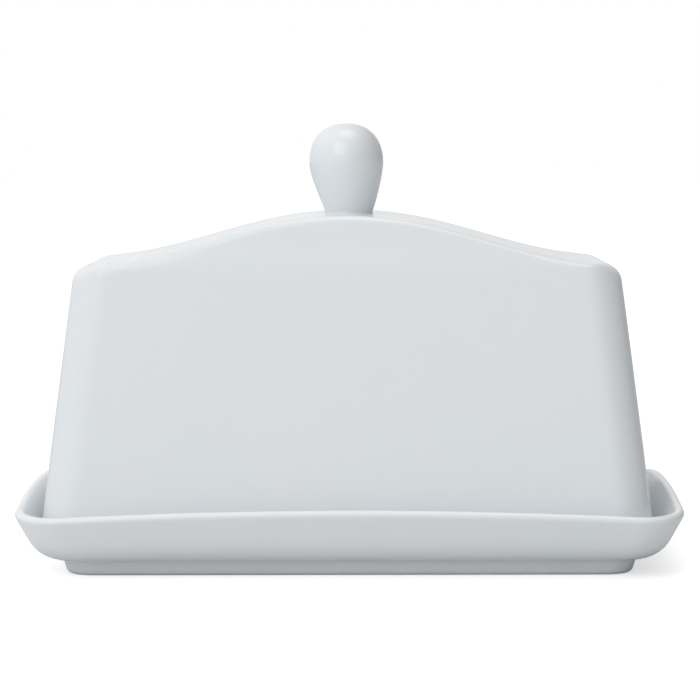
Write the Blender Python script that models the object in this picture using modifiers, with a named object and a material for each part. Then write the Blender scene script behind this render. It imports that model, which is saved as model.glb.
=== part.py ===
"""Butter dish in glazed porcelain: a footed dish, and a tall tapered cover with a pear-shaped knob.

Run it with: blender --background --python part.py, or from Blender's text editor. Metres, +Z up.
The dish stands on z = 0 with its long side along X, and the origin is under its middle.
"""

from math import cos, pi, radians, sin, tan

import bmesh
import bpy
from mathutils import Vector

MM = 0.001
SEAT_GAP = 0.3 * MM  # between pieces that rest on or are stuck to each other

# Dish: outer sizes at the rim, which is lowest at the corners and arches up along each side
DISH_LENGTH = 178 * MM
DISH_WIDTH = 116 * MM
RIM_HEIGHT = 16.4 * MM
RIM_ARCH_LONG = 2.6 * MM
RIM_ARCH_SHORT = 4.6 * MM
RIM_CORNER_RADIUS = 13 * MM
WALL_FLARE = radians(30)
DISH_WALL = 2.6 * MM
DISH_TURN_RADIUS = 10 * MM  # outside, from the wall to the underside
WELL_TURN_RADIUS = 2 * MM  # inside, from the wall to the floor
FLOOR_HEIGHT = 9.4 * MM
CORNER_TIGHTENING = 0.45  # how much of each inset the corner radius loses
CORNER_STEPS, LONG_SIDE_STEPS, SHORT_SIDE_STEPS = 5, 10, 6  # faces round one section of the dish

# Foot ring under the dish
FOOT_HEIGHT = 4.1 * MM
FOOT_INSET = 12.0 * MM
FOOT_TAPER = 1.2 * MM
FOOT_EDGE_RADIUS = 1.8 * MM
FOOT_RING_WIDTH = 5.5 * MM
RECESS_HEIGHT = 3.9 * MM

# Cover: outer sizes
COVER_LENGTH_BOTTOM = 164.8 * MM
COVER_LENGTH_TOP = 147 * MM
COVER_WIDTH_BOTTOM = 100 * MM
COVER_WIDTH_TOP = 80 * MM  # at the shoulders
SHOULDER_HEIGHT = 82.4 * MM
CREST_RISE = 13.2 * MM
CREST_FULLNESS = 1.06  # over 1 makes the bell wider
COVER_WALL = 3.6 * MM
COVER_CORNER_RADIUS = 10 * MM
COVER_EDGE_RADIUS = 4 * MM
COVER_INNER_EDGE_RADIUS = 2.5 * MM
COVER_LIP_RADIUS = 1.0 * MM
CUT_OVERSHOOT = 2 * MM  # how far the hollow cutter reaches below the standing edge
CREST_SLICES = 24

# Knob, turned, standing on the middle of the crest
KNOB_RADIUS = 10.3 * MM
KNOB_NECK_RADIUS = 6.3 * MM
KNOB_HEIGHT = 24.8 * MM
KNOB_BELLY = 13.8 * MM  # height of its widest place above the crest
KNOB_FULLNESS = 2.25  # 2 gives a plain half ellipse over the belly, and more gives a fuller one
KNOB_TAPER = 1.5  # 1 gives a straight cone under the belly, and 2 gives a round one
KNOB_ROOT = 2 * MM  # spare length below the crest, which the seat cut takes off
KNOB_STEPS = 32

COVER_BASE = FLOOR_HEIGHT + SEAT_GAP
CREST_HEIGHT = SHOULDER_HEIGHT + CREST_RISE


def clear_scene():
    for obj in list(bpy.data.objects):
        bpy.data.objects.remove(obj, do_unlink=True)


def new_collection(name):
    collection = bpy.data.collections.new(name)
    bpy.context.scene.collection.children.link(collection)
    return collection


def glazed_porcelain(name, colour, roughness):
    material = bpy.data.materials.new(name)
    material.use_nodes = True
    shader = material.node_tree.nodes["Principled BSDF"]
    shader.inputs["Base Color"].default_value = (*colour, 1.0)
    shader.inputs["Roughness"].default_value = roughness
    shader.inputs["Metallic"].default_value = 0.0
    material.diffuse_color = (*colour, 1.0)
    return material


def new_object(name, bm, collection, material=None):
    """The mesh in bm as a smooth-shaded object of the collection."""
    mesh = bpy.data.meshes.new(name)
    bm.to_mesh(mesh)
    bm.free()
    obj = bpy.data.objects.new(name, mesh)
    collection.objects.link(obj)
    if material:
        mesh.materials.append(material)
    mesh.shade_smooth()
    mesh.set_sharp_from_angle(angle=radians(40))
    return obj


def arc(centre, radius, start, end, segments):
    """Points (inset, height) along a round stretch of a profile, angles in radians from +inset."""
    turn = (end - start) / segments
    return [
        (centre[0] + radius * cos(start + turn * i), centre[1] + radius * sin(start + turn * i))
        for i in range(segments + 1)
    ]


# ---------------------------------------------------------------------------------------------- dish


def wall_inset(height, depth=0.0):
    """How far in from the rim's outermost line a surface this deep in the flaring wall is, at a height."""
    lip = DISH_WALL / 2
    overhang = lip * (tan(WALL_FLARE) + 1 / cos(WALL_FLARE) - 1)  # of the lip past the wall's own line
    return (RIM_HEIGHT - height) * tan(WALL_FLARE) + depth / cos(WALL_FLARE) - overhang


def turn_arc(level, radius, depth, segments):
    """The rounding between the flaring wall and a level surface, from the wall down to it."""
    tangent = radius * tan((pi / 2 - WALL_FLARE) / 2)
    centre = (wall_inset(level, depth) + tangent, level + radius)
    return arc(centre, radius, pi + WALL_FLARE, 3 * pi / 2, segments)


def dish_outside():
    """Profile from the foot of the flaring wall, round its turn and the foot ring, into the recess."""
    foot_edge = FOOT_INSET + FOOT_TAPER
    standing_start = foot_edge + FOOT_EDGE_RADIUS
    standing_end = standing_start + FOOT_RING_WIDTH
    return [
        *turn_arc(FOOT_HEIGHT, DISH_TURN_RADIUS, 0.0, 6),
        (FOOT_INSET, FOOT_HEIGHT),
        *arc((standing_start, FOOT_EDGE_RADIUS), FOOT_EDGE_RADIUS, pi * 1.1, pi * 1.5, 3),
        (standing_end, 0.0),
        (standing_end + FOOT_TAPER, RECESS_HEIGHT),
    ]


def dish_inside():
    """Profile from the edge of the floor up the inside of the wall and over the rounded lip."""
    lip = DISH_WALL / 2
    lip_centre = (wall_inset(RIM_HEIGHT - lip, lip), RIM_HEIGHT - lip)
    return [
        *reversed(turn_arc(FLOOR_HEIGHT, WELL_TURN_RADIUS, DISH_WALL, 5)),
        *arc(lip_centre, lip, WALL_FLARE, pi + WALL_FLARE, 6),
    ]


def rounded_rectangle(half_length, half_width, radius):
    """Points (x, y) round a rounded rectangle, counter-clockwise, with points along its sides too."""
    straight_x, straight_y = half_length - radius, half_width - radius
    corners = [(straight_x * sx, straight_y * sy) for sx, sy in ((1, 1), (-1, 1), (-1, -1), (1, -1))]
    points = []
    for quarter, (x, y) in enumerate(corners):
        for i in range(CORNER_STEPS + 1):
            angle = (quarter + i / CORNER_STEPS) * pi / 2
            points.append((x + radius * cos(angle), y + radius * sin(angle)))
        next_x, next_y = corners[(quarter + 1) % 4]
        steps = LONG_SIDE_STEPS if quarter % 2 == 0 else SHORT_SIDE_STEPS
        last_x, last_y = points[-1]
        for i in range(1, steps):
            points.append((last_x + (next_x - x) * i / steps, last_y + (next_y - y) * i / steps))
    return points


def rim_arch(x, y, half_length, half_width):
    """How far the rim stands above its corners, at a point of a section of these half sizes."""
    along = RIM_ARCH_LONG * (1 - (x / half_length) ** 2)
    across = RIM_ARCH_SHORT * (1 - (y / half_width) ** 2)
    return along + across


def dish_section(bm, inset, height, still_below):
    """One closed loop of the dish's loft. Heights over still_below follow the arching rim in part."""
    half_length = DISH_LENGTH / 2 - inset
    half_width = DISH_WIDTH / 2 - inset
    radius = RIM_CORNER_RADIUS - CORNER_TIGHTENING * inset
    share = max(0.0, (height - still_below) / (RIM_HEIGHT - still_below))
    return [
        bm.verts.new((x, y, height + share * rim_arch(x, y, half_length, half_width)))
        for x, y in rounded_rectangle(half_length, half_width, radius)
    ]


def make_dish(collection, material):
    """The dish as one loft of rounded rectangles, from its floor over the rim and down to its underside."""
    bm = bmesh.new()
    inside = [dish_section(bm, inset, height, FLOOR_HEIGHT) for inset, height in dish_inside()]
    outside = [dish_section(bm, inset, height, FOOT_HEIGHT) for inset, height in dish_outside()]
    sections = inside + outside
    for above, below in zip(sections, sections[1:]):
        for i in range(len(above)):
            j = (i + 1) % len(above)
            bm.faces.new((above[i], above[j], below[j], below[i]))
    bm.faces.new(sections[0])
    bm.faces.new(sections[-1])
    bmesh.ops.recalc_face_normals(bm, faces=bm.faces)
    return new_object("dish", bm, collection, material)


# --------------------------------------------------------------------------------------------- cover


def crest(x):
    """Height of the cover's top over a point of its length: low shoulders and a bell-shaped middle."""
    share = min(1.0, abs(x) / (COVER_LENGTH_TOP / 2))
    return SHOULDER_HEIGHT + CREST_RISE * (1 + cos(pi * share**CREST_FULLNESS)) / 2


def cover_width(z):
    """Width between the flat long faces at a height. They lean in evenly from the base to the crest."""
    share = (z - COVER_BASE) / (SHOULDER_HEIGHT - COVER_BASE)
    return COVER_WIDTH_BOTTOM - (COVER_WIDTH_BOTTOM - COVER_WIDTH_TOP) * share


def slice_along_x(bm):
    """Cuts the unit cube across its length, clear of its corners, so that its top can follow the crest."""
    span = 1 - 2 * (COVER_CORNER_RADIUS + COVER_EDGE_RADIUS) / COVER_LENGTH_TOP
    for i in range(CREST_SLICES + 1):
        cut = Vector((span * (i / CREST_SLICES - 0.5), 0, 0))
        geometry = bm.verts[:] + bm.edges[:] + bm.faces[:]
        bmesh.ops.bisect_plane(bm, geom=geometry, plane_co=cut, plane_no=(1, 0, 0))


def upright_corners(bm):
    """The four long edges that run up the box's corners."""
    found = []
    for edge in bm.edges:
        rise = abs(edge.verts[0].co.z - edge.verts[1].co.z)
        if rise > SHOULDER_HEIGHT / 2 and edge.calc_face_angle(0.0) > radians(50):
            found.append(edge)
    return found


def level_rim(bm, side):
    """The closed chain of edges between the sides and the top (side 1) or the bottom (side -1)."""
    bm.normal_update()
    return [
        edge for edge in bm.edges
        if sum(face.normal.z * side > 0.7 for face in edge.link_faces) == 1
    ]


def round_edges(bm, edges, radius, segments):
    bmesh.ops.bevel(bm, geom=edges, offset=radius, segments=segments, profile=0.5, affect="EDGES")


def cover_form(name, collection, grow, base, material=None):
    """A closed tapered box with a curved top and rounded edges, larger all round than the cover by grow."""
    bm = bmesh.new()
    bmesh.ops.create_cube(bm, size=1.0)
    slice_along_x(bm)
    for vert in bm.verts:
        top = vert.co.z > 0
        x = vert.co.x * ((COVER_LENGTH_TOP if top else COVER_LENGTH_BOTTOM) + 2 * grow)
        z = crest(x) + grow if top else base
        vert.co = (x, vert.co.y * (cover_width(z) + 2 * grow), z)
    bm.normal_update()
    round_edges(bm, upright_corners(bm), COVER_CORNER_RADIUS + grow, 6)
    round_edges(bm, level_rim(bm, 1), max(COVER_EDGE_RADIUS + grow, COVER_INNER_EDGE_RADIUS), 4)
    round_edges(bm, level_rim(bm, -1), COVER_LIP_RADIUS, 2)
    return new_object(name, bm, collection, material)


def as_cutter(obj):
    obj.hide_render = True
    obj.display_type = "WIRE"
    return obj


def subtract(obj, cutter):
    """Cuts the cutter's shape out of the object."""
    boolean = obj.modifiers.new(cutter.name, "BOOLEAN")
    boolean.operation = "DIFFERENCE"
    boolean.object = as_cutter(cutter)


def make_cover_shell(collection, cutters, material):
    cover = cover_form("cover_shell", collection, 0.0, COVER_BASE, material)
    subtract(cover, cover_form("cover_hollow", cutters, -COVER_WALL, COVER_BASE - CUT_OVERSHOOT))
    return cover


# ---------------------------------------------------------------------------------------------- knob


def knob_radius(height):
    """Radius of the knob at a height above the crest."""
    if height > KNOB_BELLY:
        share = (height - KNOB_BELLY) / (KNOB_HEIGHT - KNOB_BELLY)
        return KNOB_RADIUS * max(0.0, 1 - share**KNOB_FULLNESS) ** (1 / KNOB_FULLNESS)
    share = 1 - height / KNOB_BELLY
    return KNOB_RADIUS - (KNOB_RADIUS - KNOB_NECK_RADIUS) * share**KNOB_TAPER


def knob_profile():
    """Points (radius, height above the crest) from the top down the outside to the middle of the base."""
    cap_steps, neck_steps = 9, 7
    cap_shares = [sin(i / cap_steps * pi / 2) for i in range(cap_steps, 0, -1)]
    heights = [KNOB_BELLY + (KNOB_HEIGHT - KNOB_BELLY) * share for share in cap_shares]
    heights += [KNOB_BELLY * (1 - i / neck_steps) for i in range(neck_steps + 1)]
    outside = [(knob_radius(height), height) for height in heights]
    root = -KNOB_ROOT
    return [*outside, (KNOB_NECK_RADIUS, root), (0.0, root)]


def make_cover_knob(collection, cutters, material):
    bm = bmesh.new()
    verts = [bm.verts.new((radius, 0, height)) for radius, height in knob_profile()]
    for upper, lower in zip(verts, verts[1:]):
        bm.edges.new((upper, lower))
    knob = new_object("cover_knob", bm, collection, material)
    knob.location.z = CREST_HEIGHT
    turn = knob.modifiers.new("turning", "SCREW")
    turn.axis = "Z"
    turn.steps = KNOB_STEPS
    turn.render_steps = KNOB_STEPS
    turn.use_merge_vertices = True
    turn.merge_threshold = 0.00001
    subtract(knob, cover_form("knob_seat", cutters, SEAT_GAP, COVER_BASE))
    return knob


def main():
    clear_scene()
    parts = new_collection("butter_dish")
    cutters = new_collection("cutters")
    white = (0.80, 0.83, 0.85)
    make_dish(parts, glazed_porcelain("dish_glaze", white, 0.22))
    cover = make_cover_shell(parts, cutters, glazed_porcelain("cover_glaze", white, 0.22))
    knob = make_cover_knob(parts, cutters, glazed_porcelain("knob_glaze", white, 0.20))
    knob.parent = cover


main()
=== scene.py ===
"""Looks for the porcelain butter dish: the footed dish, the crested cover and its turned knob.

Each piece is one loft. A profile of straight lines with rounded corners is carried round a path of four
sides and four corners, and rules then arch the rim, raise the crest and lean the walls. Metres, +Z up.
"""

import math

import bpy
from bpy.props import FloatProperty, FloatVectorProperty, PointerProperty
from bpy.types import Operator, Panel, PropertyGroup
from mathutils import Matrix, Vector


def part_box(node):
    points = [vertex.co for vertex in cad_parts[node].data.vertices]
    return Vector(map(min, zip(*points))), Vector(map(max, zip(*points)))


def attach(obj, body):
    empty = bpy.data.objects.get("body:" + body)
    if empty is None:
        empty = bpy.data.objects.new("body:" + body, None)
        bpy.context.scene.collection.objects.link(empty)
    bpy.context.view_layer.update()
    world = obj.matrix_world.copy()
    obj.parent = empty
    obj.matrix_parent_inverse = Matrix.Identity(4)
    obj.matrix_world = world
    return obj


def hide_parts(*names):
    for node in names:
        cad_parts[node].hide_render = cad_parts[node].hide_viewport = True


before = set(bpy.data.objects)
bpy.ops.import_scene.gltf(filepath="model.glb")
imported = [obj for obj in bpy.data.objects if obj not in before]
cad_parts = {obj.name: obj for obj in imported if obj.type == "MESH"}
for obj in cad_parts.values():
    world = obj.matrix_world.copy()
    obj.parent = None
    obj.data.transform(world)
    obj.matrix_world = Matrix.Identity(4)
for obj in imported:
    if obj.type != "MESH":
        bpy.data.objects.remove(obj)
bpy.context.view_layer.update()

bl_info = {
    "name": "Butter dish",
    "version": (1, 0, 0),
    "blender": (4, 5, 0),
    "location": "View3D > Sidebar > Butter dish",
    "description": "Builds a glazed porcelain butter dish with a crested cover and a turned knob",
    "category": "Add Mesh",
}

MM = 0.001
DISH_LOW, DISH_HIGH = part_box("dish")
COVER_LOW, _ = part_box("cover_shell")
KNOB_LOW, KNOB_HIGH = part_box("cover_knob")

MERGE_REACH = 0.01 * MM  # points closer than this are one point
ARC_STEPS = 9  # in each rounded corner of a profile
STRAIGHT_SPAN, MOST_CUTS = 2.0 * MM, 60  # between points on its straight stretches, and the most in one

# the dish's small roundings: foot to wall, and the inner edge and inner corner of the foot ring
FOOT_CREASE, RING_INNER_EDGE, RECESS_CORNER = 0.5 * MM, 1.2 * MM, 1.6 * MM
# further in than the first inset the dish stays flat, and further out than the second it warps freely
FLAT_INSET, FREE_INSET = 30 * MM, 20 * MM
# the glaze thins from the first distance under the rim to the second, and likewise over the foot
RIM_THINNING = (1.7 * MM, 0.2 * MM)
FOOT_THINNING, FOOT_THIN_SHARE = (1.4 * MM, 0.2 * MM), 0.8

# how far the outline has turned from its long faces (0) to its ends (1) where their two looks blend
FACE_TO_END = (0.2, 0.9)
SETTLED_SHARE = 0.95  # of the corner radius: deeper in than this, every side of the top is drawn alike
COVER_FREE_HEIGHT = 25 * MM  # over the standing edge, which stays true so that it sits flat
# the glaze thins from the first distance over the standing edge to the second, and over the top edge
EDGE_THINNING = (2.0 * MM, 0.4 * MM)
RIDGE_OUTSIDE, RIDGE_INSIDE, RIDGE_THIN_SHARE = (0.1 * MM, 1.0 * MM), (5.5 * MM, 2.5 * MM), 0.6

STEM_CURVE = 1.6  # over 1 puts more of the knob's points near the joint, where the bead is
BEAD_SPREAD = 0.9  # of the bead's size: how fast it fades up the stem
JOINT_REACH = 6 * MM  # over this height the stem takes up the slope of the crest
KNOB_FREE_HEIGHTS = (2 * MM, 8 * MM)

GLAZE_IOR = 1.5
SHEEN_RANGE = (0.85, 0.3)  # share of the roughness that is always there, and the share that varies
POOL_SCALE, POOL_RANGE = 22.0, (0.3, 0.7)  # how the glaze gathers: patches per metre and their contrast
SPECK_STRENGTH = 0.3
CLAY_GRAIN = 0.03 * MM
BARE_DISH, BARE_COVER = 0.35 * MM, 0.5 * MM  # height of the unglazed band over the standing surface

FLOOR_HALF = 6.0
KEY_PLACE, KEY_SIZE = Vector((-0.55, -1.3, 0.95)), 0.9
TOP_PLACE, TOP_SIZE = Vector((0.1, -0.1, 1.4)), 0.8
LIGHT_TARGET = Vector((0, 0, 0.05))


# ------------------------------------------------------------------------------------------- node trees


class Field:
    """A number or vector in a node tree. Arithmetic on it adds Math nodes, so a rule reads as a formula."""

    def __init__(self, build, socket):
        self.build, self.socket = build, socket

    def math(self, operation, *values):
        return self.build.math(operation, self, *values)

    def __add__(self, other):
        return self.build.math("ADD", self, other)

    def __sub__(self, other):
        return self.build.math("SUBTRACT", self, other)

    def __rsub__(self, other):
        return self.build.math("SUBTRACT", other, self)

    def __mul__(self, other):
        return self.build.math("MULTIPLY", self, other)

    def __truediv__(self, other):
        return self.build.math("DIVIDE", self, other)

    def __rtruediv__(self, other):
        return self.build.math("DIVIDE", other, self)

    def __pow__(self, other):
        return self.build.math("POWER", self, other)

    __radd__, __rmul__ = __add__, __mul__


class Build:
    """Short calls that add nodes to one tree and join them."""

    def __init__(self, tree):
        self.tree = tree

    def join(self, value, socket):
        if isinstance(value, Field):
            self.tree.links.new(value.socket, socket)
        else:
            socket.default_value = value

    def node(self, kind, inputs=(), **settings):
        """Adds a node. Inputs are named, or numbered where a name stands for more than one socket."""
        made = self.tree.nodes.new(kind)
        for name, value in settings.items():
            setattr(made, name, value)
        for name, value in dict(inputs).items():
            self.join(value, made.inputs[name])
        return made

    def field(self, kind, inputs=(), output=0, **settings):
        return Field(self, self.node(kind, inputs, **settings).outputs[output])

    def math(self, operation, *values):
        return self.field("ShaderNodeMath", dict(enumerate(values)), operation=operation)

    def vector(self, x, y, z):
        return self.field("ShaderNodeCombineXYZ", {0: x, 1: y, 2: z})

    def parts(self, vector):
        split = self.node("ShaderNodeSeparateXYZ", {0: vector})
        return [Field(self, socket) for socket in split.outputs]

    def ramp(self, value, start, end, low=0.0, high=1.0, kind="LINEAR"):
        """Value carried from the stretch start..end to low..high, and held at its ends."""
        inputs = {"Value": value, 1: start, 2: end, 3: low, 4: high}
        return self.field("ShaderNodeMapRange", inputs, interpolation_type=kind)

    def compare(self, value, operation, other):
        """1 where value is over (GREATER_THAN) or under (LESS_THAN) the other, and 0 elsewhere."""
        return self.math(operation, value, other)

    def noise(self, vector, scale, detail=2.0, roughness=0.5, output="Fac"):
        inputs = {"Vector": vector, "Scale": scale, "Detail": detail, "Roughness": roughness}
        return self.field("ShaderNodeTexNoise", inputs, output)

    def mix_colour(self, share, first, second):
        node = self.node("ShaderNodeMix", {0: share, 6: first, 7: second}, data_type="RGBA")
        return Field(self, node.outputs[2])

    def group(self, tree, inputs=()):
        """Places a shared node group and returns its outputs by name."""
        node = self.tree.nodes.new("ShaderNodeGroup")
        node.node_tree = tree
        for name, value in dict(inputs).items():
            self.join(value, node.inputs[name])
        return {socket.name: Field(self, socket) for socket in node.outputs}


def new_tree(name, kind, inputs, outputs):
    """A node group with named sockets. Returns its Build, its inputs by name, and its output node."""
    tree = bpy.data.node_groups.new(name, kind)
    for direction, sockets in (("INPUT", inputs), ("OUTPUT", outputs)):
        for socket_name, (socket_type, default, subtype) in sockets.items():
            socket = tree.interface.new_socket(socket_name, in_out=direction, socket_type=socket_type)
            if subtype:
                socket.subtype = subtype
            if default is not None:
                socket.default_value = default
    build = Build(tree)
    start = build.node("NodeGroupInput")
    given = {socket.name: Field(build, socket) for socket in start.outputs if socket.name}
    return build, given, build.node("NodeGroupOutput")


def length(default):
    return ("NodeSocketFloat", default, "DISTANCE")


def number(default):
    return ("NodeSocketFloat", default, None)


def count(default):
    return ("NodeSocketInt", default, None)


GEOMETRY = ("NodeSocketGeometry", None, None)
MATERIAL = ("NodeSocketMaterial", None, None)
RING_STEPS = {"Corner Steps": count(14), "Long Side Steps": count(34), "Short Side Steps": count(22)}


# ---------------------------------------------------------------------------------------------- lofting


def four_sided_path(build, given):
    """A ring of points that hold which side or corner of a rounded rectangle each belongs to.

    Each point holds side (which corner centre it hangs from, and between them on a straight side) and
    outward (the direction from there). Both halves of every side are alike, so opposite points match.
    """
    corner, long_half, short_half = (
        given["Corner Steps"], given["Long Side Steps"], given["Short Side Steps"],
    )
    quarter_steps = corner + long_half + short_half
    ring = build.field("GeometryNodeCurvePrimitiveCircle", {"Resolution": quarter_steps * 4})
    index = build.field("GeometryNodeInputIndex")
    quarter = (index / quarter_steps).math("FLOOR")
    along = index - quarter * quarter_steps
    odd = quarter.math("MODULO", 2)
    step = along + (quarter_steps - along * 2) * odd  # counted from the short side in every quarter
    right = 1 - 2 * build.compare((quarter - 1.5).math("ABSOLUTE"), "LESS_THAN", 1.0)
    back = 1 - 2 * build.compare(quarter, "GREATER_THAN", 1.5)
    side_y = build.ramp(step, 0.0, short_half)
    side_x = build.ramp(step, short_half + corner, quarter_steps, 1.0, 0.0)
    turn = build.ramp(step, short_half, short_half + corner, 0.0, math.pi / 2)
    side = build.vector(side_x * right, side_y * back, 0.0)
    outward = build.vector(turn.math("COSINE") * right, turn.math("SINE") * back, 0.0)
    return ring, side, outward


def rounded_profile(build, corners):
    """An open line through corners (inset, height, rounding radius, mark), rounded and cut fine.

    Returns the curve and the fields inset, height and mark along it.
    """
    line = build.field("GeometryNodeCurvePrimitiveLine", {"Start": (0, 0, 0), "End": (1, 0, 0)})
    line = build.field("GeometryNodeResampleCurve", {"Curve": line, "Count": len(corners)})
    index = build.field("GeometryNodeInputIndex")

    def chosen(values, data_type):
        node = build.tree.nodes.new("GeometryNodeIndexSwitch")
        node.data_type = data_type
        while len(node.index_switch_items) < len(values):
            node.index_switch_items.new()
        for socket, value in zip(node.inputs, (index, *values)):
            build.join(value, socket)
        return Field(build, node.outputs[0])

    places = chosen([build.vector(inset, 0.0, height) for inset, height, _, _ in corners], "VECTOR")
    line = build.field("GeometryNodeSetPosition", {"Geometry": line, "Position": places})
    radii = chosen([radius for _, _, radius, _ in corners], "FLOAT")
    line, radii, mark = hold(build, line, radii, chosen([mark for *_, mark in corners], "FLOAT"))
    rounding = {"Curve": line, "Radius": radii, "Count": ARC_STEPS}
    line = build.field("GeometryNodeFilletCurve", rounding, mode="POLY")
    position = build.field("GeometryNodeInputPosition")
    following = build.field(
        "GeometryNodeFieldAtIndex",
        {"Value": position, "Index": build.field("GeometryNodeInputIndex") + 1},
        data_type="FLOAT_VECTOR",
    )
    gap = build.field("ShaderNodeVectorMath", {0: position, 1: following}, "Value", operation="DISTANCE")
    cuts = (gap / STRAIGHT_SPAN).math("FLOOR").math("MINIMUM", MOST_CUTS)
    line = build.field("GeometryNodeSubdivideCurve", {"Curve": line, "Cuts": cuts})
    line, place = hold(build, line, build.field("GeometryNodeInputPosition"))
    inset, _, height = build.parts(place)
    return line, inset, height, mark


def hold(build, geometry, *fields):
    """Captures fields on the points of a geometry, and returns it with the captured fields."""
    node = build.tree.nodes.new("GeometryNodeCaptureAttribute")
    node.domain = "POINT"
    for i, field in enumerate(fields):
        vector = field.socket.type == "VECTOR"
        node.capture_items.new("VECTOR" if vector else "FLOAT", f"held_{i}")
    build.join(geometry, node.inputs[0])
    for socket, field in zip(list(node.inputs)[1:], fields):
        build.join(field, socket)
    return [Field(build, socket) for socket in list(node.outputs)[: len(fields) + 1]]


def sweep(build, path, profile):
    return build.field("GeometryNodeCurveToMesh", {"Curve": path, "Profile Curve": profile})


def section(build, side, outward, half_length, half_width, radius):
    """The point (x, y) of a rounded rectangle of these half sizes and corner radius."""
    side_x, side_y, _ = build.parts(side)
    out_x, out_y, _ = build.parts(outward)
    return (
        side_x * (half_length - radius) + out_x * radius,
        side_y * (half_width - radius) + out_y * radius,
    )


def kiln_warp(build, amount, reach, freedom):
    """A slow, slight bend of the whole piece, as porcelain takes in the kiln. Freedom 0 holds it still."""
    position = build.field("GeometryNodeInputPosition")
    wave = build.noise(position, 1 / reach, 1.0, 0.5, "Color")
    x, y, z = build.parts(wave)
    size = amount * 2 * freedom
    return build.vector((x - 0.5) * size, (y - 0.5) * size, (z - 0.5) * size)


def finished(build, skin, place, amount, reach, freedom, thin, material):
    """Puts the skin in place, warps and closes it, and gives it its glaze."""
    skin = build.field("GeometryNodeSetPosition", {"Geometry": skin, "Position": place})
    skin = build.field(
        "GeometryNodeMergeByDistance", {"Geometry": skin, "Distance": MERGE_REACH}
    )
    offset = kiln_warp(build, amount, reach, freedom)
    skin = build.field("GeometryNodeSetPosition", {"Geometry": skin, "Offset": offset})
    skin = build.field(
        "GeometryNodeStoreNamedAttribute",
        {"Geometry": skin, "Name": "thin_glaze", "Value": thin},
        data_type="FLOAT", domain="POINT",
    )
    skin = build.field("GeometryNodeSetShadeSmooth", {"Geometry": skin})
    skin = build.field("GeometryNodeRealizeInstances", {"Geometry": skin})
    return build.field("GeometryNodeSetMaterial", {"Geometry": skin, "Material": material})


def fired(name, build, sizes, material):
    """The plain mesh object that a tree makes from these sizes, with faces outwards."""
    raw = bpy.data.objects.new(name + "_raw", bpy.data.meshes.new(name + "_raw"))
    bpy.context.scene.collection.objects.link(raw)
    modifier = raw.modifiers.new("loft", "NODES")
    modifier.node_group = build.tree
    for item in build.tree.interface.items_tree:
        if item.item_type == "SOCKET" and item.in_out == "INPUT" and item.name in sizes:
            modifier[item.identifier] = sizes[item.name]
        elif item.item_type == "SOCKET" and item.socket_type == "NodeSocketMaterial":
            modifier[item.identifier] = material
    graph = bpy.context.evaluated_depsgraph_get()
    mesh = bpy.data.meshes.new_from_object(raw.evaluated_get(graph), depsgraph=graph)
    raw.modifiers.remove(modifier)
    bpy.data.objects.remove(raw)
    mesh.name = name
    if signed_volume(mesh) < 0:
        mesh.flip_normals()
    piece = bpy.data.objects.new(name, mesh)
    bpy.context.scene.collection.objects.link(piece)
    return piece


def signed_volume(mesh):
    """Six times the volume inside the mesh, negative where its faces point inwards."""
    mesh.calc_loop_triangles()
    verts = mesh.vertices
    total = 0.0
    for triangle in mesh.loop_triangles:
        a, b, c = (verts[i].co for i in triangle.vertices)
        total += a.dot(b.cross(c))
    return total


# ------------------------------------------------------------------------------------------------- dish


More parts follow.
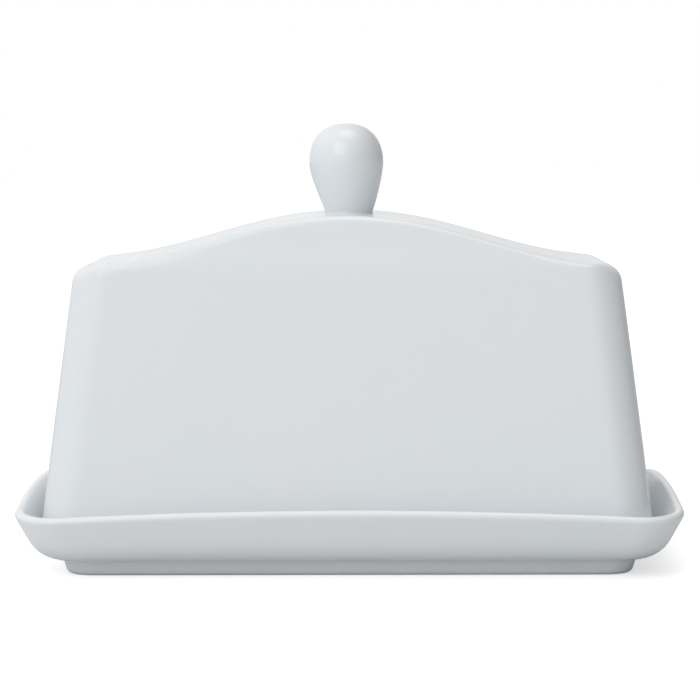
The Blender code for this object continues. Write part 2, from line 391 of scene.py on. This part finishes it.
def dish_tree():
    inputs = {
        "Length": length(178 * MM), "Width": length(116 * MM), "Rim Height": length(16.4 * MM),
        "Long Arch": length(2.6 * MM), "Short Arch": length(4.6 * MM), "Corner Radius": length(13 * MM),
        "Corner Tightening": number(0.45), "Flare": ("NodeSocketFloat", math.radians(30), "ANGLE"),
        "Wall": length(2.6 * MM), "Turn Radius": length(10 * MM), "Well Radius": length(2 * MM),
        "Floor Height": length(9.4 * MM), "Foot Height": length(4.1 * MM), "Foot Inset": length(12 * MM),
        "Foot Taper": length(1.2 * MM), "Foot Edge": length(1.8 * MM), "Foot Width": length(5.5 * MM),
        "Recess Height": length(3.9 * MM), "Warp": length(0.2 * MM), "Warp Reach": length(70 * MM),
        **RING_STEPS, "Material": MATERIAL,
    }
    build, given, end = new_tree("porcelain_dish", "GeometryNodeTree", inputs, {"Geometry": GEOMETRY})
    flare, wall, rim = given["Flare"], given["Wall"], given["Rim Height"]
    lean, slant = flare.math("TANGENT"), 1 / flare.math("COSINE")
    rise, run = flare.math("COSINE"), flare.math("SINE")
    lip = wall * 0.5
    overhang = lip * (lean + slant - 1)
    floor, foot = given["Floor Height"], given["Foot Height"]

    def wall_inset(height, depth):
        return (rim - height) * lean + depth * slant - overhang

    lip_height = rim - lip
    lip_inset = wall_inset(lip_height, lip)
    foot_out = given["Foot Inset"]
    stand_in = foot_out + given["Foot Taper"] + given["Foot Edge"] + given["Foot Width"]
    spine = given["Width"] * 0.5
    recess = given["Recess Height"]
    corners = [
        (spine, floor, 0.0, 1.0),
        (wall_inset(floor, wall), floor, given["Well Radius"], 1.0),
        (lip_inset + lip * (rise - run), lip_height + lip * (rise + run), lip * 0.999, 1.0),
        (lip_inset - lip * (rise + run), lip_height + lip * (rise - run), lip * 0.999, 0.0),
        (wall_inset(foot, 0.0), foot, given["Turn Radius"], 0.0),
        (foot_out, foot, FOOT_CREASE, 0.0),
        (foot_out + given["Foot Taper"], 0.0, given["Foot Edge"], 0.0),
        (stand_in, 0.0, RING_INNER_EDGE, 0.0),
        (stand_in + given["Foot Taper"], recess, RECESS_CORNER, 0.0),
        (spine, recess, 0.0, 0.0),
    ]
    profile, inset, height, inside = rounded_profile(build, corners)
    path, side, outward = four_sided_path(build, given)
    path, side, outward = hold(build, path, side, outward)
    skin = sweep(build, path, profile)
    half_length = given["Length"] * 0.5 - inset
    half_width = given["Width"] * 0.5 - inset
    radius = (given["Corner Radius"] - given["Corner Tightening"] * inset).math("MAXIMUM", 0.0)
    x, y = section(build, side, outward, half_length, half_width, radius)
    below = foot + (floor - foot) * inside
    share = build.ramp(height, below, rim - lip)
    along = given["Long Arch"] * (1 - (x / half_length.math("MAXIMUM", MM)) ** 2)
    across = given["Short Arch"] * (1 - (y / half_width.math("MAXIMUM", MM)) ** 2)
    place = build.vector(x, y, height + share * (along + across))
    freedom = build.ramp(height, foot, rim) * build.ramp(inset, FLAT_INSET, FREE_INSET)
    far, near = RIM_THINNING
    thin = build.ramp(height, rim - far, rim - near, kind="SMOOTHSTEP")
    foot_edge = build.ramp(height, *FOOT_THINNING, kind="SMOOTHSTEP")
    thin = thin.math("MAXIMUM", foot_edge * FOOT_THIN_SHARE)
    skin = finished(
        build, skin, place, given["Warp"], given["Warp Reach"], freedom, thin, given["Material"]
    )
    build.join(skin, end.inputs[0])
    return build


# ------------------------------------------------------------------------------------------------ cover


def crest_height(given, x):
    """How high the crest stands over a point of the cover's length: low shoulders and a bell between."""
    share = (x.math("ABSOLUTE") / (given["Top Length"] * 0.5)).math("MINIMUM", 1.0)
    bell = (share ** given["Crest Fullness"] * math.pi).math("COSINE")
    return given["Shoulder Height"] + given["Crest Rise"] * (bell + 1) * 0.5


def cover_tree():
    inputs = {
        "Length": length(164.8 * MM), "Top Length": length(147 * MM), "Width": length(100 * MM),
        "Top Width": length(80 * MM), "Base Height": length(9.7 * MM),
        "Shoulder Height": length(82.4 * MM), "Crest Rise": length(13.2 * MM),
        "Crest Fullness": number(1.06), "Wall": length(3.6 * MM), "Corner Radius": length(10 * MM),
        "Top Edge": length(5 * MM), "Front Edge": number(0.44), "Inner Edge": length(4 * MM),
        "Lip": length(1.3 * MM), "Gable Set-back": length(0.9 * MM), "Gable Softness": length(6 * MM),
        "Off Centre": length(0.0), "Warp": length(0.2 * MM), "Warp Reach": length(80 * MM),
        **RING_STEPS, "Material": MATERIAL,
    }
    build, given, end = new_tree("porcelain_cover", "GeometryNodeTree", inputs, {"Geometry": GEOMETRY})
    base, shoulder, wall = given["Base Height"], given["Shoulder Height"], given["Wall"]
    edge = given["Top Edge"]
    end_draft = (given["Length"] - given["Top Length"]) * 0.5 / (shoulder - base)
    face_draft = (given["Width"] - given["Top Width"]) * 0.5 / (shoulder - base)
    spine = given["Width"] * 0.5
    ceiling = shoulder - wall
    corners = [
        (spine, shoulder, 0.0, 0.0),
        (end_draft * (shoulder - base), shoulder, edge, 0.0),
        (0.0, base, given["Lip"], 0.0),
        (wall, base, given["Lip"], 1.0),
        (wall + end_draft * (ceiling - base), ceiling, given["Inner Edge"], 1.0),
        (spine, ceiling, 0.0, 1.0),
    ]
    profile, inset, height, inside = rounded_profile(build, corners)
    path, side, outward = four_sided_path(build, given)
    path, side, outward = hold(build, path, side, outward)
    skin = sweep(build, path, profile)

    # the top edge is tighter along the faces than at the ends, so there its rounding is drawn in
    facing_x, _, _ = build.parts(outward)
    endward = build.ramp(facing_x.math("ABSOLUTE"), *FACE_TO_END, kind="SMOOTHSTEP")
    upper = build.ramp(height, (base + shoulder) * 0.5, shoulder - edge, kind="SMOOTHSTEP")
    tight = 1 - (1 - given["Front Edge"]) * (1 - endward) * upper * (1 - inside)
    depth = inset - end_draft * (height - base)
    settled = given["Corner Radius"] * SETTLED_SHARE
    drawn_depth = tight * depth.math("MINIMUM", edge) + (
        build.ramp(depth, edge, settled, 0.0, settled - edge * tight)
        + (depth - settled).math("MAXIMUM", 0.0)
    )
    turn_start = shoulder - edge * tight
    drawn_height = build.ramp(height, base, shoulder - edge, base, turn_start) + tight * (
        (height - shoulder + edge).math("MAXIMUM", 0.0)
    )
    depth = depth + (drawn_depth - depth) * upper
    height = height + (drawn_height - height) * upper
    leaned = end_draft * (height - base)
    inset = depth + leaned

    half_length, half_width = given["Length"] * 0.5 - inset, given["Width"] * 0.5 - inset
    radius = (given["Corner Radius"] - depth).math("MAXIMUM", 0.0)
    x, y = section(build, side, outward, half_length, half_width, radius)
    crest = crest_height(given, x) - shoulder
    top = turn_start + inside * (shoulder - wall - given["Inner Edge"] - turn_start)
    raised = height + crest * build.ramp(height, base, top)
    above = (raised - shoulder + inside * wall).math("MAXIMUM", 0.0)
    setback = given["Gable Set-back"] * (1 - (0 - above / given["Gable Softness"]).math("EXPONENT"))
    leaning = face_draft * (raised - base) - leaned + setback
    squeeze = 1 - leaning / (given["Width"] * 0.5 - leaned)
    place = build.vector(x - given["Off Centre"], y * squeeze, raised)
    freedom = build.ramp(height, base, base + COVER_FREE_HEIGHT)
    far, near = EDGE_THINNING
    thin = build.ramp(height, base + far, base + near, kind="SMOOTHSTEP")
    ridge = build.ramp(depth, *RIDGE_OUTSIDE) * build.ramp(depth, *RIDGE_INSIDE)
    thin = thin.math("MAXIMUM", ridge * upper * (1 - inside) * RIDGE_THIN_SHARE)
    skin = finished(
        build, skin, place, given["Warp"], given["Warp Reach"], freedom, thin, given["Material"]
    )
    build.join(skin, end.inputs[0])
    return build


# ------------------------------------------------------------------------------------------------- knob


def knob_tree():
    inputs = {
        "Radius": length(10.3 * MM), "Neck Radius": length(6.3 * MM), "Height": length(24.8 * MM),
        "Belly Height": length(13.8 * MM), "Fullness": number(2.25), "Taper": number(1.5),
        "Off Centre": length(0.0), "Lean": length(0.0),
        "Slip Bead": length(0.5 * MM), "Top Length": length(147 * MM),
        "Shoulder Height": length(82.4 * MM), "Crest Rise": length(13.2 * MM),
        "Crest Fullness": number(1.06), "Sink": length(0.25 * MM), "Warp": length(0.1 * MM),
        "Warp Reach": length(14 * MM), "Round Steps": count(96), "Profile Steps": count(80),
        "Material": MATERIAL,
    }
    build, given, end = new_tree("porcelain_knob", "GeometryNodeTree", inputs, {"Geometry": GEOMETRY})
    steps = given["Profile Steps"]
    line = build.field("GeometryNodeCurvePrimitiveLine", {"Start": (0, 0, 0), "End": (0, 0, 1)})
    line = build.field("GeometryNodeResampleCurve", {"Curve": line, "Count": steps + 1})
    index = build.field("GeometryNodeInputIndex")
    # the last point closes the hidden underside, and all the others go from the top to the joint
    t = (index / (steps - 1)).math("MINIMUM", 1.0)
    closing = build.compare(index, "GREATER_THAN", steps - 0.5)
    belly, tall = given["Belly Height"], given["Height"]
    cap = build.ramp(t, 0.0, 0.5, math.pi / 2, 0.0).math("SINE")
    stem = build.ramp(t, 0.5, 1.0, 1.0, 0.0) ** STEM_CURVE
    height = belly * stem + (tall - belly) * cap
    swell = given["Radius"] - (given["Radius"] - given["Neck Radius"]) * (1 - stem) ** given["Taper"]
    fullness = given["Fullness"]
    dome = (1 - cap ** fullness).math("MAXIMUM", 0.0) ** (1 / fullness)
    bead = given["Slip Bead"] * (0 - height / (given["Slip Bead"] * BEAD_SPREAD)).math("EXPONENT")
    line, height, radius = hold(build, line, height, (swell * dome + bead) * (1 - closing))
    ring = build.field("GeometryNodeCurvePrimitiveCircle", {"Resolution": given["Round Steps"]})
    turn = build.field("GeometryNodeInputIndex") * (2 * math.pi) / given["Round Steps"]
    ring, turn = hold(build, ring, turn)
    skin = sweep(build, ring, line)
    x, y = radius * turn.math("COSINE"), radius * turn.math("SINE")
    drop = given["Shoulder Height"] + given["Crest Rise"] - crest_height(given, x)
    near = build.ramp(height, JOINT_REACH, 0.0, kind="SMOOTHSTEP")
    foot = given["Shoulder Height"] + given["Crest Rise"] - (drop + given["Sink"]) * near
    lean = given["Lean"] * build.ramp(height, 0.0, belly, kind="SMOOTHSTEP")
    place = build.vector(x - given["Off Centre"] - lean, y, foot + height)
    freedom = build.ramp(height, *KNOB_FREE_HEIGHTS)
    skin = finished(
        build, skin, place, given["Warp"], given["Warp Reach"], freedom, 0.0, given["Material"]
    )
    build.join(skin, end.inputs[0])
    return build


# ---------------------------------------------------------------------------------------------- finishes


def ripple_group():
    """Unevenness of a fired glaze: slow waves, a finer orange-peel, and the sheen that goes with them."""
    if "glaze_ripple" in bpy.data.node_groups:
        return bpy.data.node_groups["glaze_ripple"]
    vector = ("NodeSocketVector", (0, 0, 0), None)
    build, given, end = new_tree(
        "glaze_ripple", "ShaderNodeTree",
        {
            "Vector": vector, "Wave Length": length(9 * MM), "Peel Length": length(1.4 * MM),
            "Peel Share": number(0.12), "Peel Sheen": number(0.3), "Dullest": number(0.35),
            "Sharpest": number(0.95),
        },
        {"Height": number(None), "Sheen": number(None)},
    )
    wave = build.noise(given["Vector"], 1 / given["Wave Length"], 2.0, 0.45)
    peel = build.noise(given["Vector"], 1 / given["Peel Length"], 1.0, 0.5)
    build.join(wave + peel * given["Peel Share"], end.inputs["Height"])
    mottle = wave + peel * given["Peel Sheen"]
    build.join(build.ramp(mottle, given["Dullest"], given["Sharpest"]), end.inputs["Sheen"])
    return build.tree


def speck_group():
    """Rare fine specks and pinholes under the glaze."""
    if "kiln_specks" in bpy.data.node_groups:
        return bpy.data.node_groups["kiln_specks"]
    vector = ("NodeSocketVector", (0, 0, 0), None)
    build, given, end = new_tree(
        "kiln_specks", "ShaderNodeTree",
        {
            "Vector": vector, "Spacing": length(7 * MM), "Size": length(0.16 * MM),
            "Size Spread": number(0.8), "Least Size": number(0.3), "Share": number(0.35),
        },
        {"Mask": number(None)},
    )
    cells = build.node(
        "ShaderNodeTexVoronoi",
        {"Vector": given["Vector"], "Scale": 1 / given["Spacing"], "Randomness": 1.0},
    )
    reach = Field(build, cells.outputs["Distance"]) * given["Spacing"]
    chance, size, _ = build.parts(Field(build, cells.outputs["Color"]))
    spread = size * given["Size Spread"] + given["Least Size"]
    spot = build.ramp(reach, given["Size"] * spread, 0.0)
    kept = build.compare(chance, "LESS_THAN", given["Share"])
    build.join(spot * kept, end.inputs["Mask"])
    return build.tree


def bare_group():
    """The unglazed band next to the surface a piece stands on in the kiln, with a wandering glaze line."""
    if "bare_clay" in bpy.data.node_groups:
        return bpy.data.node_groups["bare_clay"]
    vector = ("NodeSocketVector", (0, 0, 0), None)
    build, given, end = new_tree(
        "bare_clay", "ShaderNodeTree",
        {
            "Vector": vector, "Level": length(0.5 * MM), "Wander": length(0.3 * MM),
            "Wander Scale": number(130.0), "Softness": length(0.06 * MM), "Grain Scale": number(2600.0),
        },
        {"Mask": number(None), "Grain": number(None)},
    )
    _, _, height = build.parts(given["Vector"])
    wave = build.noise(given["Vector"], given["Wander Scale"], 3.0) - 0.5
    line = given["Level"] + wave * given["Wander"]
    soft = given["Softness"]
    build.join(build.ramp(height - line, soft, 0 - soft), end.inputs["Mask"])
    build.join(build.noise(given["Vector"], given["Grain Scale"], 2.0, 0.6), end.inputs["Grain"])
    return build.tree


def porcelain(name, look, bare_level):
    """White porcelain under a clear glossy glaze: thinner and warmer on edges, bare where it stood."""
    material = bpy.data.materials.new(name)
    material.use_nodes = True
    build = Build(material.node_tree)
    shader = material.node_tree.nodes["Principled BSDF"]
    place = build.field("ShaderNodeTexCoord", output="Object")
    ripple = build.group(ripple_group(), {"Vector": place})
    specks = build.group(speck_group(), {"Vector": place})
    bare = build.group(bare_group(), {"Vector": place, "Level": bare_level})
    thin = build.field("ShaderNodeAttribute", output="Fac", attribute_name="thin_glaze")
    pooled = build.ramp(build.noise(place, POOL_SCALE), *POOL_RANGE)
    body = build.mix_colour(pooled, (*look.glaze, 1), (*look.glaze_pooled, 1))
    body = build.mix_colour(thin * look.edge_thinning, body, (*look.edge, 1))
    body = build.mix_colour(specks["Mask"] * SPECK_STRENGTH, body, (*look.speck, 1))
    body = build.mix_colour(bare["Mask"], body, (*look.clay, 1))
    build.join(body, shader.inputs["Base Color"])
    least, spread = SHEEN_RANGE
    gloss = ripple["Sheen"] * (spread * look.roughness) + least * look.roughness
    build.join(gloss + (look.clay_roughness - gloss) * bare["Mask"], shader.inputs["Roughness"])
    build.join(look.coat * (1 - bare["Mask"]), shader.inputs["Coat Weight"])
    shader.inputs["Coat Roughness"].default_value = look.coat_roughness
    shader.inputs["IOR"].default_value = GLAZE_IOR
    relief = ripple["Height"] * look.ripple_depth * (1 - bare["Mask"])
    relief = relief + bare["Grain"] * bare["Mask"] * CLAY_GRAIN
    bump = build.field("ShaderNodeBump", {"Height": relief, "Distance": 1.0, "Strength": 1.0})
    build.join(bump, shader.inputs["Normal"])
    return material


def stage_white(name, look):
    """A plain matt white surface, lifted a little where it is looked at straight, like a lit sweep."""
    material = bpy.data.materials.new(name)
    material.use_nodes = True
    build = Build(material.node_tree)
    shader = material.node_tree.nodes["Principled BSDF"]
    shader.inputs["Base Color"].default_value = (*look.floor, 1)
    shader.inputs["Roughness"].default_value = 1.0
    shader.inputs["Specular IOR Level"].default_value = 0.0
    shader.inputs["Emission Color"].default_value = (1, 1, 1, 1)
    seen = build.field("ShaderNodeLightPath", output="Is Camera Ray")
    build.join(seen * look.floor_lift, shader.inputs["Emission Strength"])
    return material


def studio_room(name, look):
    """White walls all round: bright in front, softer on the left and behind, and dark on the right."""
    world = bpy.data.worlds.new(name)
    world.use_nodes = True
    build = Build(world.node_tree)
    background = world.node_tree.nodes["Background"]
    x, y, _ = build.parts(build.field("ShaderNodeTexCoord", output="Generated"))
    left = build.ramp(x, 0.0, -1.0, look.front_wall, look.left_wall)
    right = build.ramp(x, 0.0, look.right_reach, 1.0, look.right_wall)
    back = build.ramp(y, 0.0, 1.0, 1.0, look.back_wall)
    strength = left * right * back
    seen = build.field("ShaderNodeLightPath", output="Is Camera Ray")
    background.inputs["Color"].default_value = (1, 1, 1, 1)
    build.join(strength + (1 - strength) * seen, background.inputs["Strength"])
    return world


# ------------------------------------------------------------------------------------------ properties


def mm_size(name, value, description):
    return FloatProperty(
        name=name, description=description, default=value * MM, unit="LENGTH", subtype="DISTANCE",
        precision=4,
    )


def colour(name, value, description):
    return FloatVectorProperty(
        name=name, description=description, default=value, subtype="COLOR", min=0.0, max=1.0
    )


class DishSizes(PropertyGroup):
    length: FloatProperty(
        name="Length", description="Outer length at the rim", unit="LENGTH", subtype="DISTANCE",
        default=DISH_HIGH.x - DISH_LOW.x,
    )
    width: FloatProperty(
        name="Width", description="Outer width at the rim", unit="LENGTH", subtype="DISTANCE",
        default=DISH_HIGH.y - DISH_LOW.y,
    )
    rim_height: mm_size("Rim height", 16.4, "Height of the rim at the corners, where it is lowest")
    long_arch: mm_size("Long side arch", 2.6, "How far the rim rises in the middle of a long side")
    short_arch: mm_size("Short side arch", 4.6, "How far the rim rises in the middle of a short side")
    wall: mm_size("Wall", 2.6, "Thickness of the flaring wall and its lip")
    flare: FloatProperty(
        name="Flare", description="Angle of the wall from upright", default=math.radians(30),
        unit="ROTATION", subtype="ANGLE",
    )


class CoverSizes(PropertyGroup):
    length: mm_size("Length", 164.8, "Outer length at the standing edge")
    top_length: mm_size("Top length", 147.0, "Outer length at the shoulders")
    width: mm_size("Width", 100.0, "Outer width at the standing edge")
    top_width: mm_size("Top width", 80.0, "Outer width at the shoulders")
    shoulder_height: mm_size("Shoulder height", 82.4, "Height of the low ends of the crest")
    crest_rise: mm_size("Crest rise", 13.2, "How far the middle of the crest stands over its ends")
    crest_fullness: FloatProperty(
        name="Crest fullness", description="Over 1 makes the bell of the crest wider", default=1.06
    )
    wall: mm_size("Wall", 3.6, "Thickness of the cover")
    setback: mm_size("Gable set-back", 0.9, "How far the gable lies behind the face under it")
    off_centre: mm_size("Off centre", 0.6, "How far to the left the loose cover was set down")


class KnobSizes(PropertyGroup):
    radius: FloatProperty(
        name="Radius", description="At the belly", unit="LENGTH", subtype="DISTANCE",
        default=(KNOB_HIGH.x - KNOB_LOW.x) / 2,
    )
    neck_radius: mm_size("Neck radius", 6.3, "Where the knob meets the crest")
    belly_height: mm_size("Belly height", 13.8, "Height of the widest place over the crest")
    off_centre: mm_size("Off centre", 0.2, "How far to the left of the dish's middle the knob stands")
    lean: mm_size("Lean", 0.7, "How far its top leans to the left, as a knob set by hand does")


class GlazeLook(PropertyGroup):
    glaze: colour("Glaze", (0.80, 0.83, 0.85), "Colour of the porcelain through the glaze")
    glaze_pooled: colour("Pooled glaze", (0.785, 0.825, 0.852), "Colour where the glaze is thicker")
    edge: colour("Edge", (0.86, 0.865, 0.855), "Colour where the glaze runs thin over an edge")
    clay: colour("Bare clay", (0.74, 0.71, 0.66), "Colour of the unglazed standing surfaces")
    speck: colour("Specks", (0.42, 0.38, 0.33), "Colour of the few specks under the glaze")
    clay_roughness: FloatProperty(
        name="Clay roughness", description="Of the unglazed surfaces", default=0.7,
        min=0.0, max=1.0, subtype="FACTOR",
    )
    coat: FloatProperty(
        name="Clear glaze", description="Weight of the clear glaze over the body", default=0.6,
        min=0.0, max=1.0, subtype="FACTOR",
    )
    edge_thinning: FloatProperty(
        name="Edge thinning", description="How much of the edge colour shows", default=0.6,
        min=0.0, max=1.0, subtype="FACTOR",
    )
    roughness: FloatProperty(
        name="Roughness", description="Of the body under the clear glaze", default=0.34,
        min=0.0, max=1.0, subtype="FACTOR",
    )
    coat_roughness: FloatProperty(
        name="Glaze roughness", description="Of the clear glaze itself", default=0.09,
        min=0.0, max=1.0, subtype="FACTOR",
    )
    ripple_depth: mm_size("Ripple depth", 0.03, "Height of the waves in the glaze")


class StageLook(PropertyGroup):
    distance: mm_size("Camera distance", 820.0, "From the middle of the dish, over the ground")
    camera_height: mm_size("Camera height", 117.8, "Over the surface the dish stands on")
    aim_height: mm_size("Aim height", 57.0, "Height of the point the camera looks at")
    turn: FloatProperty(
        name="Turn", description="Of the camera round the dish, to its right", unit="ROTATION",
        subtype="ANGLE", default=math.radians(0.38),
    )
    roll: FloatProperty(
        name="Roll", description="Of the camera about its own axis", unit="ROTATION", subtype="ANGLE",
        default=math.radians(-0.15),
    )
    lens: FloatProperty(
        name="Lens", description="Focal length on a 36 mm sensor, in millimetres", default=150.69
    )
    key_power: FloatProperty(
        name="Key light", description="Power of the soft box in front, in watts", default=4.2
    )
    top_power: FloatProperty(
        name="Top light", description="Power of the soft box overhead, in watts", default=2.6
    )
    floor: colour("Floor", (0.76, 0.76, 0.76), "Colour of the floor")
    floor_lift: FloatProperty(
        name="Floor lift", description="Light added to the floor where it is looked at", default=0.56
    )
    front_wall: FloatProperty(
        name="Front wall", description="Brightness of the room in front and overhead", default=0.97
    )
    left_wall: FloatProperty(
        name="Left wall", description="Brightness of the room on the left", default=0.85
    )
    right_wall: FloatProperty(
        name="Right wall", description="Share of the brightness that is left on the right",
        default=0.1, min=0.0, max=1.0, subtype="FACTOR",
    )
    right_reach: FloatProperty(
        name="Right reach", description="How far round to the right that share is reached, as a sine",
        default=0.8, min=0.0, max=1.0, subtype="FACTOR",
    )
    back_wall: FloatProperty(
        name="Back wall", description="Share of the brightness that is left behind the dish",
        default=0.9, min=0.0, max=1.0, subtype="FACTOR",
    )


# ------------------------------------------------------------------------------------------- operators


def settle(piece, body, node):
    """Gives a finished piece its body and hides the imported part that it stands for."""
    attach(piece, body)
    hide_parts(node)


class BUTTERDISH_OT_make_dish(Operator):
    """Builds the footed dish with its arched rim"""

    bl_idname = "butterdish.make_dish"
    bl_label = "Make dish"

    def execute(self, context):
        size, look = context.scene.butterdish_dish, context.scene.butterdish_glaze
        sizes = {
            "Length": size.length, "Width": size.width, "Rim Height": size.rim_height,
            "Long Arch": size.long_arch, "Short Arch": size.short_arch, "Wall": size.wall,
            "Flare": size.flare,
        }
        piece = fired("dish_porcelain", dish_tree(), sizes, porcelain("dish_porcelain", look, BARE_DISH))
        settle(piece, "dish", "dish")
        return {"FINISHED"}


class BUTTERDISH_OT_make_cover_shell(Operator):
    """Builds the hollow tapered cover with its crested top"""

    bl_idname = "butterdish.make_cover_shell"
    bl_label = "Make cover"

    def execute(self, context):
        size, look = context.scene.butterdish_cover, context.scene.butterdish_glaze
        sizes = {
            "Length": size.length, "Top Length": size.top_length, "Width": size.width,
            "Top Width": size.top_width, "Base Height": COVER_LOW.z,
            "Shoulder Height": size.shoulder_height, "Crest Rise": size.crest_rise,
            "Crest Fullness": size.crest_fullness, "Wall": size.wall,
            "Gable Set-back": size.setback, "Off Centre": size.off_centre,
        }
        level = COVER_LOW.z + BARE_COVER
        piece = fired("cover_porcelain", cover_tree(), sizes, porcelain("cover_porcelain", look, level))
        settle(piece, "cover", "cover_shell")
        return {"FINISHED"}


class BUTTERDISH_OT_make_cover_knob(Operator):
    """Builds the pear-shaped knob, stuck on the middle of the crest"""

    bl_idname = "butterdish.make_cover_knob"
    bl_label = "Make knob"

    def execute(self, context):
        size, cover = context.scene.butterdish_knob, context.scene.butterdish_cover
        look = context.scene.butterdish_glaze
        top = cover.shoulder_height + cover.crest_rise
        sizes = {
            "Radius": size.radius, "Neck Radius": size.neck_radius, "Height": KNOB_HIGH.z - top,
            "Belly Height": size.belly_height, "Top Length": cover.top_length,
            "Shoulder Height": cover.shoulder_height, "Crest Rise": cover.crest_rise,
            "Crest Fullness": cover.crest_fullness, "Off Centre": size.off_centre,
            "Lean": size.lean,
        }
        piece = fired("knob_porcelain", knob_tree(), sizes, porcelain("knob_porcelain", look, 0.0))
        settle(piece, "cover", "cover_knob")
        return {"FINISHED"}


def soft_light(name, place, size, power):
    """A square soft box that faces the object."""
    data = bpy.data.lights.new(name, "AREA")
    data.energy, data.shape, data.size = power, "SQUARE", size
    light = bpy.data.objects.new(name, data)
    bpy.context.scene.collection.objects.link(light)
    light.location = place
    light.rotation_euler = (LIGHT_TARGET - place).to_track_quat("-Z", "Y").to_euler()


class BUTTERDISH_OT_make_stage(Operator):
    """Builds the white floor, the soft lights and the camera"""

    bl_idname = "butterdish.make_stage"
    bl_label = "Make stage"

    def execute(self, context):
        scene, look = context.scene, context.scene.butterdish_stage
        corners = [(x * FLOOR_HALF, y * FLOOR_HALF, 0) for x, y in ((-1, -1), (1, -1), (1, 1), (-1, 1))]
        mesh = bpy.data.meshes.new("floor")
        mesh.from_pydata(corners, [], [(0, 1, 2, 3)])
        mesh.materials.append(stage_white("stage_white", look))
        floor = bpy.data.objects.new("floor", mesh)
        scene.collection.objects.link(floor)

        scene.world = studio_room("room", look)
        soft_light("key", KEY_PLACE, KEY_SIZE, look.key_power)
        soft_light("top", TOP_PLACE, TOP_SIZE, look.top_power)

        data = bpy.data.cameras.new("camera")
        data.lens, data.sensor_width = look.lens, 36.0
        data.clip_start, data.clip_end = 0.01, 50
        camera = bpy.data.objects.new("camera", data)
        scene.collection.objects.link(camera)
        place = Vector((
            look.distance * math.sin(look.turn), -look.distance * math.cos(look.turn),
            look.camera_height,
        ))
        aim = (Vector((0, 0, look.aim_height)) - place).to_track_quat("-Z", "Y")
        camera.matrix_world = (
            Matrix.Translation(place) @ aim.to_matrix().to_4x4() @ Matrix.Rotation(look.roll, 4, "Z")
        )
        scene.camera = camera
        scene.view_settings.view_transform = "Standard"
        return {"FINISHED"}


class BUTTERDISH_PT_panel(Panel):
    """Lists the pieces of the butter dish and their sizes"""

    bl_label = "Butter dish"
    bl_idname = "BUTTERDISH_PT_panel"
    bl_space_type = "VIEW_3D"
    bl_region_type = "UI"
    bl_category = "Butter dish"

    def draw(self, context):
        for title, holder, operator in WORK_ORDER:
            box = self.layout.box()
            box.label(text=title)
            group = getattr(context.scene, holder)
            for name in group.bl_rna.properties.keys():
                if name not in ("rna_type", "name"):
                    box.prop(group, name)
            if operator:
                box.operator(operator.bl_idname)


WORK_ORDER = (
    ("Dish", "butterdish_dish", BUTTERDISH_OT_make_dish),
    ("Cover", "butterdish_cover", BUTTERDISH_OT_make_cover_shell),
    ("Knob", "butterdish_knob", BUTTERDISH_OT_make_cover_knob),
    ("Glaze", "butterdish_glaze", None),
    ("Stage", "butterdish_stage", BUTTERDISH_OT_make_stage),
)
SETTINGS = {
    "butterdish_dish": DishSizes, "butterdish_cover": CoverSizes, "butterdish_knob": KnobSizes,
    "butterdish_glaze": GlazeLook, "butterdish_stage": StageLook,
}
CLASSES = (*SETTINGS.values(), *(operator for *_, operator in WORK_ORDER if operator), BUTTERDISH_PT_panel)


def register():
    for made in CLASSES:
        bpy.utils.register_class(made)
    for name, group in SETTINGS.items():
        setattr(bpy.types.Scene, name, PointerProperty(type=group))


def unregister():
    for name in SETTINGS:
        delattr(bpy.types.Scene, name)
    for made in reversed(CLASSES):
        bpy.utils.unregister_class(made)


def main():
    register()
    bpy.ops.butterdish.make_dish()
    bpy.ops.butterdish.make_cover_shell()
    bpy.ops.butterdish.make_cover_knob()
    bpy.ops.butterdish.make_stage()


if __name__ == "__main__":
    main()
